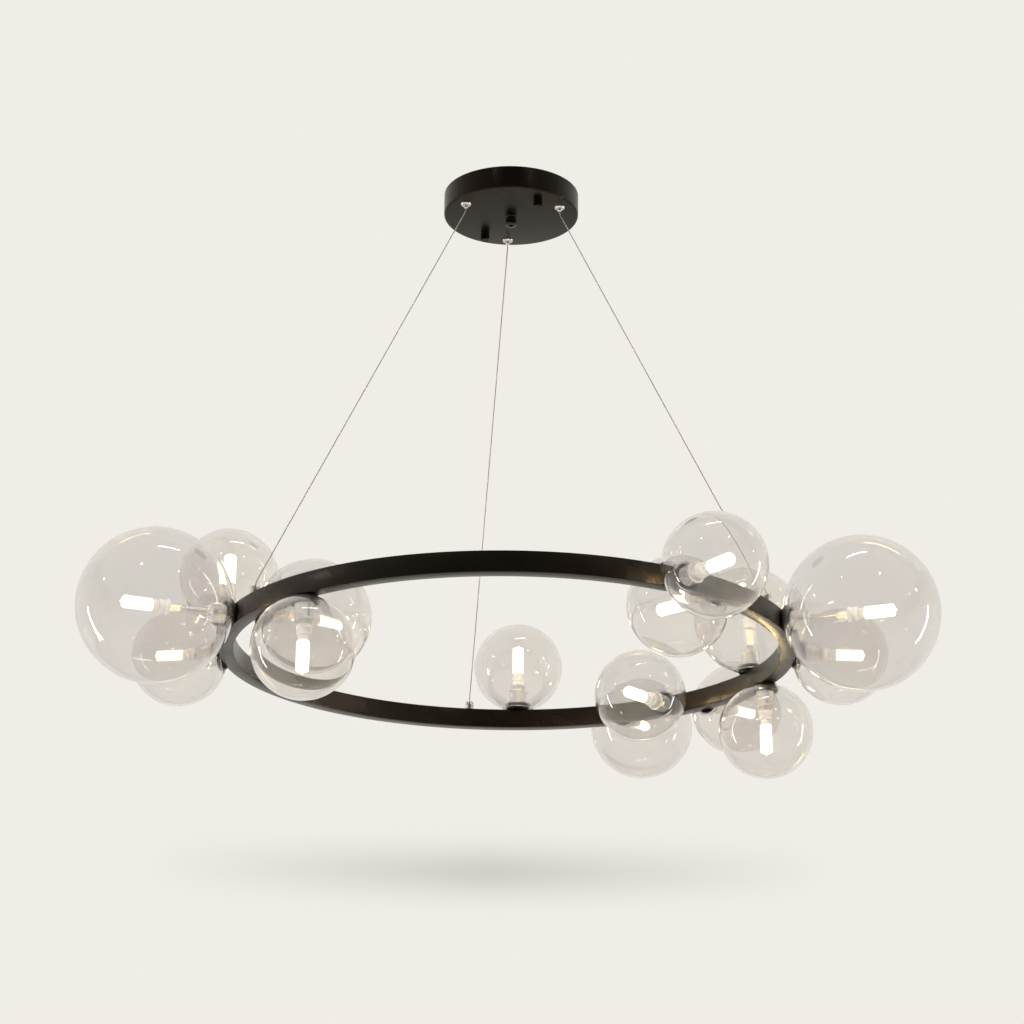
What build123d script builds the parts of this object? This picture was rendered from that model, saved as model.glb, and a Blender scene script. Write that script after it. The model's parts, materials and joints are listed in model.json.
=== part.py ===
from build123d import *
import os
from math import atan2, cos, degrees, radians, sin, sqrt

# Ceiling chandelier: a round canopy, three slanting steel wires and a level ring of box tube that
# carries fifteen clear glass globes on its top, underside, outer and inner faces.
# Millimetres, +Z up. The origin is on the ceiling, in the middle of the canopy's mounting bar.
os.makedirs("parts", exist_ok=True)

# ---- driving dimensions ----
ring_diameter = 765.0        # outside
ring_width = 19.0            # tube, measured towards the centre
ring_height = 27.0
ring_wall = 1.5
ring_drop = 656.0            # ceiling to the ring's top face
ring_edge_radius = 0.8

canopy_diameter = 190.0
canopy_depth = 32.0
canopy_wall = 1.2
canopy_edge_radius = 3.0

bar_length = 156.0
bar_width = 22.0
bar_thickness = 2.5
bar_corner_radius = 10.0
ceiling_hole_spacing = 84.0
ceiling_hole_diameter = 5.4
cable_hole_diameter = 14.0
bar_angle = 124.0            # direction of the mounting bar and its two studs, degrees from +X
stud_circle_diameter = 133.0
stud_diameter = 5.0
stud_reach = 7.5             # below the canopy's floor
stud_nut_width = 8.0
stud_nut_height = 3.0
cap_nut_diameter = 12.4
cap_nut_height = 11.0
cap_nut_end = 2.0            # solid end beyond the threaded bore
cap_nut_chamfer = 1.0
flute_count = 18
flute_depth = 0.4
flute_margin = 1.75          # plain rim above and below the flutes

gland_diameter = 15.0
gland_height = 14.0
gland_bead_diameter = 17.0
gland_bead_height = 5.5
gland_bead_flat = 0.4        # half the straight side left between the bead's two roundings
gland_bore = 6.5
gland_thread_diameter = 10.0
gland_thread_length = 7.0    # above the canopy's floor
gland_nut_width = 14.0
gland_nut_height = 3.5

wire_diameter = 1.5
wire_circle_diameter = 152.0  # where the wires leave the canopy
wire_exit_angles = (213.5, 333.5, 93.5)
post_angles = (211.0, 332.0, 98.5)
wire_bend_radius = 7.0
wire_bend_reach = 4.2        # from a nose or post to the corner of the wire's bend
wire_end_reach = 4.0         # past the gripper's barrel
gripper_flange_diameter = 15.0
gripper_flange_height = 3.4
gripper_flange_flat = 0.6    # straight side above the flange's rounding
gripper_barrel_diameter = 9.0
gripper_barrel_length = 17.0  # above the canopy's floor
nose_diameter = 6.0
nose_reach = 4.0             # below the flange at rest
nose_length = 9.0
nose_travel = 2.0
nose_headroom = 1.0          # left above the nose when it is pushed in
nose_tip_radius = 1.6
gripper_nut_width = 14.0
gripper_nut_height = 3.0
post_diameter = 12.5
post_height = 12.0
post_stem_diameter = 6.0
post_stem_end = 1.0          # below its nut
post_nut_width = 11.0
post_chamfer = 0.5
post_wire_depth = 6.0

cup_diameter = 34.0
cup_height = 10.0
cup_edge_radius = 2.4
collar_diameter = 25.0
collar_length = 20.0
collar_bead = 0.7
collar_bead_height = 2.0
tube_diameter = 10.0         # threaded lamp tube
tube_bore = 7.0
tube_inside_ring = 5.5       # how far it reaches into the ring's tube
tube_nut_width = 13.0
tube_nut_height = 2.8
holder_diameter = 20.0       # porcelain
holder_length = 26.0
short_holder_length = 14.0   # on a stem
holder_in_collar = 6.0
holder_step = 1.0
holder_face_length = 10.0    # the part beyond the step
pin_spacing = 9.0
pin_diameter = 1.8
pin_length = 7.0
stem_medium = 34.0           # bare stem between collar and holder in a medium globe
stem_large = 54.0
stem_neck_diameter = 15.0    # small sleeve where the stem leaves its collar
stem_neck_height = 5.0

bulb_diameter = 16.0
bulb_base_diameter = 14.5
bulb_base_length = 8.0
bulb_glass_length = 38.0
bulb_pip_diameter = 4.4
bulb_pip_length = 3.0

small_globe = 130.0
medium_globe = 150.0
large_globe = 200.0
glass_wall = 2.0
mouth_height = 3.5           # ring face to the edge of a globe's mouth
neck_length = 6.5            # turned-in threaded neck of a globe

block_length = 17.0          # terminal block on the bar, along the bar
block_width = 17.0
block_height = 13.0
block_offset = 26.0
block_chamfer = 1.2
pole_spacing = 5.0
pole_screw_diameter = 3.2
pole_screw_depth = 5.0
pole_wire_diameter = 3.4
pole_wire_height = 8.0       # above the block's foot

# ---- clearances ----
running_gap = 0.05           # radial, a pin or stud in its bore
neck_gap = 0.1               # radial, a globe's neck over its cup
seat_gap = 0.02              # between a turning or sliding piece and its seat
hole_gap = 0.1               # radial, a fixed tube or screw in a drilled hole
flat_gap = 0.3               # a flat nut on the ring's curved wall
past = 1.0                   # how far a cutting tool runs past the face it opens

# ---- places of the lamps: face of the ring, angle in degrees from +X, globe, bare stem ----
lamps = [
    ("outer", 2.5, small_globe, 0),
    ("under", 18.0, small_globe, 0),
    ("top", 24.5, medium_globe, stem_medium),
    ("outer", 42.0, small_globe, 0),
    ("inner", 50.5, small_globe, 0),
    ("outer", 64.0, medium_globe, 0),
    ("top", 87.5, small_globe, 0),
    ("outer", 173.0, small_globe, 0),
    ("top", 189.0, small_globe, 0),
    ("outer", 203.0, large_globe, stem_large),
    ("inner", 210.0, medium_globe, stem_medium),
    ("under", 228.0, small_globe, 0),
    ("outer", 303.5, small_globe, 0),
    ("inner", 316.0, small_globe, 0),
    ("outer", 338.0, large_globe, stem_large),
]

# ---- sizes that follow ----
ring_radius = ring_diameter / 2
ring_inside = ring_radius - ring_width
ring_middle = ring_radius - ring_width / 2
ring_top = -ring_drop
ring_bottom = ring_top - ring_height
ring_level = ring_top - ring_height / 2
canopy_floor = -canopy_depth            # its outer face
canopy_floor_inside = canopy_floor + canopy_wall
collar_end = cup_height + collar_length
holder_start = collar_end - holder_in_collar
stud_end = canopy_floor - stud_reach
nose_tip = canopy_floor - gripper_flange_height - nose_reach


def turned(*points):
    """A solid turned about the Z axis from its half outline, given as (radius, height) pairs."""
    outline = Polyline(*[(r, 0, z) for r, z in points], close=True)
    return revolve(make_face(outline), Axis.Z)


def rod(diameter, low, high):
    return Pos(0, 0, (low + high) / 2) * Cylinder(diameter / 2, high - low)


def hexagon(width, low, high, bore):
    nut = extrude(Plane.XY.offset(low) * RegularPolygon(width / 2, 6, major_radius=False), high - low)
    return nut - rod(bore, low - past, high + past)


def at_angle(radius, angle, height=0.0):
    return Pos(radius * cos(radians(angle)), radius * sin(radians(angle)), height)


def lamp_place(face, angle):
    """The frame of a lamp: origin on the ring's face, +Z out of it, +X along the ring."""
    out = Vector(cos(radians(angle)), sin(radians(angle)), 0)
    along = Vector(-sin(radians(angle)), cos(radians(angle)), 0)
    radius, height, way = {
        "outer": (ring_radius, ring_level, out),
        "inner": (ring_inside, ring_level, -out),
        "top": (ring_middle, ring_top, Vector(0, 0, 1)),
        "under": (ring_middle, ring_bottom, Vector(0, 0, -1)),
    }[face]
    return Plane(out * radius + Vector(0, 0, height), x_dir=along, z_dir=way).location


def save(name, *solids):
    shape = solids[0] if len(solids) == 1 else Compound(children=list(solids))
    shape.label = name
    export_step(shape, f"parts/{name}.step")


# ---- canopy ----
def make_canopy():
    cup = Pos(0, 0, canopy_floor / 2) * Cylinder(canopy_diameter / 2, canopy_depth)
    cup = fillet(cup.edges().group_by(Axis.Z)[0], canopy_edge_radius)
    inner_radius = canopy_diameter / 2 - canopy_wall
    inside = Pos(0, 0, canopy_floor_inside / 2) * Cylinder(inner_radius, -canopy_floor_inside)
    inside = fillet(inside.edges().group_by(Axis.Z)[0], canopy_edge_radius - canopy_wall)
    cup -= inside
    for turn in (0, 180):
        hole = at_angle(stud_circle_diameter / 2, bar_angle + turn)
        cup -= hole * rod(stud_diameter + 4 * hole_gap, canopy_floor - past, canopy_floor_inside + past)
    for angle in wire_exit_angles:
        hole = at_angle(wire_circle_diameter / 2, angle)
        bore = gripper_barrel_diameter + 2 * hole_gap
        cup -= hole * rod(bore, canopy_floor - past, canopy_floor_inside + past)
    cup -= rod(gland_thread_diameter + 2 * hole_gap, canopy_floor - past, canopy_floor_inside + past)
    return cup


def make_bar():
    bar = Pos(0, 0, -bar_thickness / 2) * Box(bar_length, bar_width, bar_thickness)
    bar = fillet(bar.edges().filter_by(Axis.Z), bar_corner_radius)
    for side in (-1, 1):
        bar -= Pos(side * ceiling_hole_spacing / 2) * rod(ceiling_hole_diameter, -bar_thickness - past, past)
        bar -= Pos(side * stud_circle_diameter / 2) * rod(stud_diameter, -bar_thickness - past, past)
    bar -= rod(cable_hole_diameter, -bar_thickness - past, past)
    return Rot(0, 0, bar_angle) * bar


def make_studs():
    """Two studs riveted into the bar, each with the lock nut under the bar."""
    stud = rod(stud_diameter, stud_end, 0)
    stud += hexagon(stud_nut_width, -bar_thickness - stud_nut_height, -bar_thickness, stud_diameter)
    return [at_angle(stud_circle_diameter / 2, bar_angle + turn) * stud for turn in (0, 180)]


def make_cap_nut():
    """A fluted cap nut, its mouth at height 0 and its closed end below."""
    radius = cap_nut_diameter / 2
    nut = rod(cap_nut_diameter, -cap_nut_height, 0)
    nut = chamfer(nut.edges().group_by(Axis.Z)[0], cap_nut_chamfer)
    flute = Cylinder(flute_depth * 1.5, cap_nut_height - 2 * flute_margin)
    for i in range(flute_count):
        nut -= at_angle(radius + flute_depth / 2, i * 360 / flute_count, -cap_nut_height / 2) * flute
    nut -= rod(stud_diameter + 2 * running_gap, cap_nut_end - cap_nut_height, past)
    return nut


def make_gland():
    """Cord gland in the middle of the canopy: its threaded barrel, body and rounded outer nut."""
    barrel_top = canopy_floor_inside + gland_thread_length
    neck = rod(gland_thread_diameter, canopy_floor, barrel_top)
    body = rod(gland_diameter, canopy_floor - gland_height + gland_bead_height / 2, canopy_floor)
    bead_low = canopy_floor - gland_height
    bead = rod(gland_bead_diameter, bead_low, bead_low + gland_bead_height)
    bead = fillet(bead.edges(), gland_bead_height / 2 - gland_bead_flat)
    return neck + body + bead - rod(gland_bore, bead_low - past, barrel_top + past)


def make_gland_nut():
    high = canopy_floor_inside + gland_nut_height
    return hexagon(gland_nut_width, canopy_floor_inside, high, gland_thread_diameter)


def make_terminal_block():
    """Three-pole block under the bar, beside the cable hole."""
    low = -bar_thickness - block_height
    block = Pos(block_offset, 0, low + block_height / 2) * Box(block_length, block_width, block_height)
    block = chamfer(block.edges().group_by(Axis.Z)[0], block_chamfer)
    wire_hole = Rot(0, 90, 0) * Cylinder(pole_wire_diameter / 2, block_length + 2 * past)
    for i in (-1, 0, 1):
        pole = Pos(block_offset, i * pole_spacing, 0)
        block -= pole * rod(pole_screw_diameter, low - past, low + pole_screw_depth)
        block -= pole * Pos(0, 0, low + pole_wire_height) * wire_hole
    return Rot(0, 0, bar_angle) * block


# ---- wires and what holds them ----
def make_gripper():
    """Wire gripper in the canopy's floor: domed flange below, threaded barrel and nut above."""
    low = canopy_floor - gripper_flange_height
    flange = rod(gripper_flange_diameter, low, canopy_floor)
    flange = fillet(flange.edges().group_by(Axis.Z)[0], gripper_flange_height - gripper_flange_flat)
    barrel_top = canopy_floor_inside + gripper_barrel_length
    body = flange + rod(gripper_barrel_diameter, canopy_floor, barrel_top)
    bore_top = low + nose_length - nose_reach + nose_travel + nose_headroom
    body -= rod(nose_diameter + 2 * running_gap, low - past, bore_top)
    body -= rod(wire_diameter + 2 * hole_gap, bore_top - past, barrel_top + past)
    return body


def make_gripper_nut():
    low = canopy_floor_inside
    return hexagon(gripper_nut_width, low, low + gripper_nut_height, gripper_barrel_diameter)


def make_nose():
    """The sprung nose: pushed up, it lets go of the wire that runs through it."""
    nose = rod(nose_diameter, nose_tip, nose_tip + nose_length)
    nose = fillet(nose.edges().group_by(Axis.Z)[0], nose_tip_radius)
    return nose - rod(wire_diameter + 2 * running_gap, nose_tip - past, nose_tip + nose_length + past)


def make_post():
    """Round post on the ring's top that holds a wire's lower end, with its stem and nut inside."""
    top = ring_top + post_height
    post = rod(post_diameter, ring_top, top)
    post = chamfer(post.edges(), post_chamfer)
    stem_low = ring_top - ring_wall - tube_nut_height - post_stem_end
    post += rod(post_stem_diameter, stem_low, ring_top)
    return post - rod(wire_diameter, top - post_wire_depth, top + past)


def make_post_nut():
    low = ring_top - ring_wall - tube_nut_height
    return hexagon(post_nut_width, low, ring_top - ring_wall, post_stem_diameter)


def make_wire(exit_angle, post_angle):
    """A taut wire: down through the gripper, slanting to the ring, and down into its post."""
    out = wire_circle_diameter / 2
    x1, y1 = out * cos(radians(exit_angle)), out * sin(radians(exit_angle))
    x2, y2 = ring_middle * cos(radians(post_angle)), ring_middle * sin(radians(post_angle))
    bend_top = nose_tip - wire_bend_reach
    bend_low = ring_top + post_height + wire_bend_reach
    start = (x1, y1, canopy_floor_inside + gripper_barrel_length + wire_end_reach)
    end = (x2, y2, ring_top + post_height - post_wire_depth)
    path = FilletPolyline(start, (x1, y1, bend_top), (x2, y2, bend_low), end, radius=wire_bend_radius)
    return sweep(Plane(start, z_dir=(0, 0, -1)) * Circle(wire_diameter / 2), path)


# ---- ring ----
def make_ring(tube_places, post_places):
    half_width = ring_width / 2
    section = Rectangle(ring_width, ring_height)
    section = fillet(section.vertices(), ring_edge_radius)
    section -= Rectangle(ring_width - 2 * ring_wall, ring_height - 2 * ring_wall)
    ring = revolve(Plane.XZ * Pos(ring_radius - half_width, ring_level) * section, Axis.Z)
    drill = rod(tube_diameter + 2 * hole_gap, -ring_wall - past, past)
    post_drill = rod(post_stem_diameter + 2 * hole_gap, ring_top - ring_wall - past, ring_top + past)
    for place in tube_places:
        ring -= place * drill
    for place in post_places:
        ring -= place * post_drill
    return ring


def make_loom():
    """Wiring loom: a closed loop through the middle of the ring's tube, between the lamp tubes' ends."""
    thickness = ring_width - 2 * (ring_wall + tube_inside_ring + flat_gap)
    return Pos(0, 0, ring_level) * Torus(ring_middle, thickness / 2)


# ---- one lamp, in its own frame: the ring's face at height 0, the bulb above ----
def make_cup(face):
    """Turned black cup, flat below: on the ring's inner face, which is hollow, it seats on its rim."""
    radius, bore = cup_diameter / 2, tube_diameter / 2 + hole_gap
    low = ring_inside - sqrt(ring_inside**2 - radius**2) if face == "inner" else 0.0
    soft = cup_edge_radius * (1 - cos(radians(45)))
    return turned(
        (bore, low), (radius, low), (radius, cup_height - cup_edge_radius),
        (radius - soft, cup_height - soft), (radius - cup_edge_radius, cup_height), (bore, cup_height),
    )


def make_collar(stemmed):
    """Bright sleeve on the cup: its far end takes the lampholder, or a small neck that a stem leaves."""
    radius = collar_diameter / 2
    bore = tube_diameter / 2 + hole_gap
    bead = radius + collar_bead
    bead_low = collar_end - collar_bead_height
    outline = [(bore, cup_height), (radius, cup_height), (radius, bead_low), (bead, bead_low),
               (bead, collar_end - collar_bead), (radius, collar_end)]
    if stemmed:
        neck, neck_end = stem_neck_diameter / 2, collar_end + stem_neck_height
        outline += [(neck, collar_end), (neck, neck_end), (bore, neck_end)]
    else:
        mouth = holder_diameter / 2 + hole_gap
        outline += [(mouth, collar_end), (mouth, holder_start), (bore, holder_start)]
    return turned(*outline)


def make_tube(top):
    """Threaded tube through the ring's wall, the cup and the collar, up to the lampholder."""
    low = -ring_wall - tube_inside_ring
    return rod(tube_diameter, low, top) - rod(tube_bore, low - past, top + past)


def make_tube_nut():
    high = -ring_wall - flat_gap
    return hexagon(tube_nut_width, high - tube_nut_height, high, tube_diameter)


def make_holder(start, end):
    """Porcelain lampholder: a drum, stepped in towards its face, with the lamp's two pin holes."""
    radius = holder_diameter / 2
    step = end - holder_face_length
    drum = turned(
        (0, start), (radius, start), (radius, step), (radius - holder_step, step + holder_step),
        (radius - holder_step, end), (0, end),
    )
    for side in (-1, 1):
        drum -= Pos(side * pin_spacing / 2) * rod(
            pin_diameter + 2 * running_gap, end - pin_length - past, end + past)
    return drum


def make_bulb(start):
    """Capsule lamp: two pins, a pinched base, a round-ended glass and its sealing pip."""
    base_radius, radius, pip = bulb_base_diameter / 2, bulb_diameter / 2, bulb_pip_diameter / 2
    foot = start + seat_gap
    base = start + bulb_base_length
    tip = base + bulb_glass_length
    dome = tip - radius
    end = tip + bulb_pip_length
    pip_root = dome + sqrt(radius**2 - pip**2)
    shoulder = radius * cos(radians(50))
    half = pip * cos(radians(45))
    outline = [
        Line((0, 0, end), (0, 0, foot)),
        Line((0, 0, foot), (base_radius, 0, foot)),
        Line((base_radius, 0, foot), (base_radius, 0, base)),
        Line((base_radius, 0, base), (radius, 0, base)),
        Line((radius, 0, base), (radius, 0, dome)),
        ThreePointArc((radius, 0, dome), (shoulder, 0, dome + sqrt(radius**2 - shoulder**2)),
                      (pip, 0, pip_root)),
        Line((pip, 0, pip_root), (pip, 0, end - pip)),
        ThreePointArc((pip, 0, end - pip), (half, 0, end - pip + half), (0, 0, end)),
    ]
    bulb = revolve(make_face(Wire(outline)), Axis.Z)
    for side in (-1, 1):
        bulb += Pos(side * pin_spacing / 2) * rod(pin_diameter, start - pin_length, start + past)
    return bulb


def make_globe(diameter):
    """Blown globe with a turned-in neck: the neck screws over the cup."""
    radius = diameter / 2
    neck_inside = cup_diameter / 2 + neck_gap
    neck_outside = neck_inside + glass_wall
    inner = radius - glass_wall
    centre = mouth_height + sqrt(radius**2 - neck_outside**2)
    root = centre - sqrt(inner**2 - neck_outside**2)
    neck_end = mouth_height + neck_length

    def on(r, angle):
        return (r * cos(radians(angle)), 0, centre + r * sin(radians(angle)))

    low_outer = degrees(atan2(mouth_height - centre, neck_outside))
    low_inner = degrees(atan2(root - centre, neck_outside))
    outline = [
        ThreePointArc((neck_outside, 0, mouth_height), on(radius, (low_outer + 90) / 2), (0, 0, centre + radius)),
        Line((0, 0, centre + radius), (0, 0, centre + inner)),
        ThreePointArc((0, 0, centre + inner), on(inner, (low_inner + 90) / 2), (neck_outside, 0, root)),
        Line((neck_outside, 0, root), (neck_outside, 0, neck_end)),
        Line((neck_outside, 0, neck_end), (neck_inside, 0, neck_end)),
        Line((neck_inside, 0, neck_end), (neck_inside, 0, mouth_height)),
        Line((neck_inside, 0, mouth_height), (neck_outside, 0, mouth_height)),
    ]
    return revolve(make_face(Wire(outline)), Axis.Z)


# ---- assembly ----
save("canopy_cup", make_canopy())
save("mounting_bar", make_bar())
save("bar_studs", *make_studs())
for i, turn in enumerate((0, 180)):
    nut_place = at_angle(stud_circle_diameter / 2, bar_angle + turn, canopy_floor - seat_gap)
    save(f"cap_nut_{i + 1}", nut_place * make_cap_nut())
save("cord_gland", make_gland())
save("gland_nut", make_gland_nut())
save("terminal_block", make_terminal_block())

exits = [at_angle(wire_circle_diameter / 2, angle) for angle in wire_exit_angles]
posts = [at_angle(ring_middle, angle) for angle in post_angles]
save("wire_grippers", *[place * make_gripper() for place in exits])
save("gripper_nuts", *[place * make_gripper_nut() for place in exits])
for i, place in enumerate(exits):
    save(f"gripper_nose_{i + 1}", place * make_nose())
for i in range(len(exits)):
    wire = make_wire(wire_exit_angles[i], post_angles[i])
    save(f"suspension_wire_{i + 1}", wire)
save("ring_posts", *[place * make_post() for place in posts])
save("post_nuts", *[place * make_post_nut() for place in posts])

places = [lamp_place(face, angle) for face, angle, globe, stem in lamps]
save("ring_frame", make_ring(places, posts))
save("ring_loom", make_loom())

cups, collars, tubes, stems, nuts, holders = [], [], [], [], [], []
for number, (lamp, place) in enumerate(zip(lamps, places), start=1):
    face, angle, globe, stem = lamp
    cups.append(place * make_cup(face))
    collars.append(place * make_collar(stem > 0))
    nuts.append(place * make_tube_nut())
    holder_low, holder_high = holder_start, holder_start + holder_length
    if stem:
        holder_low = collar_end + stem
        holder_high = holder_low + short_holder_length
    (stems if stem else tubes).append(place * make_tube(holder_low))
    holders.append(place * make_holder(holder_low, holder_high))
    save(f"bulb_{number}", place * make_bulb(holder_high))
    save(f"globe_{number}", place * make_globe(globe))
save("lamp_cups", *cups)
save("lamp_collars", *collars)
save("lamp_tubes", *tubes)
save("lamp_stems", *stems)
save("tube_nuts", *nuts)
save("lampholders", *holders)
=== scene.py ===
import bpy
import json
from math import asin, cos, degrees, pi, radians, sin, sqrt
from mathutils import Matrix, Vector


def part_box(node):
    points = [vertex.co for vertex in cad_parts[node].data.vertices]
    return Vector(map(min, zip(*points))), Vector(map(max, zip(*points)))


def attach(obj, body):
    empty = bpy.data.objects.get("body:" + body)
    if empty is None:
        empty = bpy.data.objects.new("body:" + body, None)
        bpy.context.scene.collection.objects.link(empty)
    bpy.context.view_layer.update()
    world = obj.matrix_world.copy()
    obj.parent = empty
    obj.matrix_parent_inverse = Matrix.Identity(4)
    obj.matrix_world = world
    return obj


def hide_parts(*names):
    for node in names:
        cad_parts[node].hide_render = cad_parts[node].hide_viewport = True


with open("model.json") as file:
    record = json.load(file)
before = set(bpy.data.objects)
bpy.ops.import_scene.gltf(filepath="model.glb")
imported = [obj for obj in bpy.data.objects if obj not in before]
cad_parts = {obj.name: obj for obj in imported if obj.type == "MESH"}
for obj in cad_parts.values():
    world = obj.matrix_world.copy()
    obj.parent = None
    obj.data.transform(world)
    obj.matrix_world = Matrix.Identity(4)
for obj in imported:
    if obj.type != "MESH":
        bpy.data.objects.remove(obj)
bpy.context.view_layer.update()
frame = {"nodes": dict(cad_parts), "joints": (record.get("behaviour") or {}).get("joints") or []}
mm = 0.001
joints = {joint["name"]: joint for joint in frame["joints"]}


# modelling helpers
def startClean():
    if bpy.context.object and bpy.context.object.mode != "OBJECT":
        bpy.ops.object.mode_set(mode="OBJECT")
    bpy.ops.object.select_all(action="DESELECT")


def makeActive(piece):
    startClean()
    piece.select_set(True)
    bpy.context.view_layer.objects.active = piece


def selectVertices(piece, test):  # leaves the piece in edit mode with those vertices selected
    makeActive(piece)
    bpy.ops.object.mode_set(mode="EDIT")
    bpy.ops.mesh.select_mode(type="VERT")
    bpy.ops.mesh.select_all(action="DESELECT")
    bpy.ops.object.mode_set(mode="OBJECT")
    for vertex in piece.data.vertices:
        vertex.select = test(vertex)
    bpy.ops.object.mode_set(mode="EDIT")


def tidySurface(piece, smoothAngle=35):
    makeActive(piece)
    bpy.ops.object.mode_set(mode="EDIT")
    bpy.ops.mesh.select_all(action="SELECT")
    bpy.ops.mesh.remove_doubles(threshold=0.00001)
    bpy.ops.mesh.normals_make_consistent(inside=False)
    bpy.ops.object.mode_set(mode="OBJECT")
    bpy.ops.object.shade_smooth_by_angle(angle=radians(smoothAngle))


def turnedPiece(name, profile, segments=64, closed=False, smoothAngle=35):
    # profile: (radius, height) pairs in mm; radius 0 is a pole, and closed joins the last pair to the first
    startClean()
    first = max(profile[0][0], profile[1][0] / 2)
    bpy.ops.mesh.primitive_circle_add(vertices=segments, radius=first * mm,
                                      location=(0, 0, profile[0][1] * mm))
    bpy.ops.object.transform_apply(location=True, rotation=False, scale=False)
    piece = bpy.context.object
    piece.name = piece.data.name = name
    bpy.ops.object.mode_set(mode="EDIT")
    bpy.ops.mesh.select_all(action="SELECT")
    radius, height = first, profile[0][1]
    for nextRadius, nextHeight in profile[1:] + (profile[:1] if closed else []):
        rise = (nextHeight - height) * mm
        bpy.ops.mesh.extrude_region_move(TRANSFORM_OT_translate={"value": (0, 0, rise)})
        scale = (nextRadius or radius / 2) / radius
        bpy.ops.transform.resize(value=(scale, scale, 1), center_override=(0, 0, nextHeight * mm))
        radius, height = radius * scale, nextHeight
    if profile[-1][0] == 0 and not closed:
        bpy.ops.mesh.merge(type="CENTER")
    if profile[0][0] == 0:
        selectVertices(piece, lambda vertex: vertex.index < segments)
        bpy.ops.mesh.merge(type="CENTER")
    tidySurface(piece, smoothAngle)
    return piece


def arcPoints(centre, radius, start, end, count):  # points of an arc in the (radius, height) plane, degrees
    angles = [radians(start + (end - start) * i / count) for i in range(count + 1)]
    return [(max(0.0, centre[0] + radius * cos(a)), centre[1] + radius * sin(a)) for a in angles]


def groovePoints(radius, start, depth, width, ramp):  # a shallow groove round a turned side, start upwards
    return [(radius, start), (radius - depth, start + ramp), (radius - depth, start + width - ramp),
            (radius, start + width)]


def joined(pieces, name):
    makeActive(pieces[0])
    for piece in pieces[1:]:
        piece.select_set(True)
    bpy.ops.object.join()
    pieces[0].name = pieces[0].data.name = name
    return pieces[0]


def placedCopy(source, name, place):
    piece = source.copy()
    piece.data = source.data.copy()
    piece.name = piece.data.name = name
    bpy.context.collection.objects.link(piece)
    piece.data.transform(place)
    return piece


def finishPiece(piece, material, slot, body, *nodes):
    if material:
        piece.data.materials.clear()
        piece.data.materials.append(material)
    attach(piece, body)
    if nodes:
        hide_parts(*nodes)


def discard(*pieces):
    for piece in pieces:
        bpy.data.objects.remove(piece)


# material helpers
def emptyMaterial(name):
    material = bpy.data.materials.new(name)
    material.use_nodes = True
    material.node_tree.nodes.clear()
    return material, material.node_tree.nodes, material.node_tree.links


def newGroup(name, inputs, outputs):  # inputs and outputs: name -> (socket type, default)
    group = bpy.data.node_groups.new(name, "ShaderNodeTree")
    for side, sockets in (("INPUT", inputs), ("OUTPUT", outputs)):
        for label, (kind, value) in sockets.items():
            socket = group.interface.new_socket(label, in_out=side, socket_type=kind)
            if value is not None:
                socket.default_value = value
    return group, group.nodes.new("NodeGroupInput"), group.nodes.new("NodeGroupOutput")


def grainGroup():  # cloudy and fine grain of a lacquer or a glaze
    group, start, end = newGroup(
        "surfaceGrain",
        {"Cloud Scale": ("NodeSocketFloat", 20.0), "Fine Scale": ("NodeSocketFloat", 900.0)},
        {"Cloud": ("NodeSocketFloat", None), "Fine": ("NodeSocketFloat", None)})
    place = group.nodes.new("ShaderNodeTexCoord")
    for label, detail in (("Cloud", 3.0), ("Fine", 2.0)):
        noise = group.nodes.new("ShaderNodeTexNoise")
        noise.inputs["Detail"].default_value = detail
        group.links.new(place.outputs["Object"], noise.inputs["Vector"])
        group.links.new(start.outputs[label + " Scale"], noise.inputs["Scale"])
        group.links.new(noise.outputs["Fac"], end.inputs[label])
    return group


def scratchGroup():  # hairline polishing marks, from noise drawn out along two directions
    group, start, end = newGroup(
        "hairlines",
        {"Scale": ("NodeSocketFloat", 400.0)},
        {"Mask": ("NodeSocketFloat", None)})
    place = group.nodes.new("ShaderNodeTexCoord")
    masks = []
    for turn in (35, -50):
        mapping = group.nodes.new("ShaderNodeMapping")
        mapping.inputs["Rotation"].default_value = (radians(turn), radians(turn / 2), radians(turn))
        mapping.inputs["Scale"].default_value = (1.0, 0.04, 1.0)
        noise = group.nodes.new("ShaderNodeTexNoise")
        noise.inputs["Detail"].default_value = 1.0
        group.links.new(place.outputs["Object"], mapping.inputs["Vector"])
        group.links.new(mapping.outputs["Vector"], noise.inputs["Vector"])
        group.links.new(start.outputs["Scale"], noise.inputs["Scale"])
        masks.append(noise)
    blend = group.nodes.new("ShaderNodeMath")
    blend.operation = "MULTIPLY"
    group.links.new(masks[0].outputs["Fac"], blend.inputs[0])
    group.links.new(masks[1].outputs["Fac"], blend.inputs[1])
    group.links.new(blend.outputs[0], end.inputs["Mask"])
    return group


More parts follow.
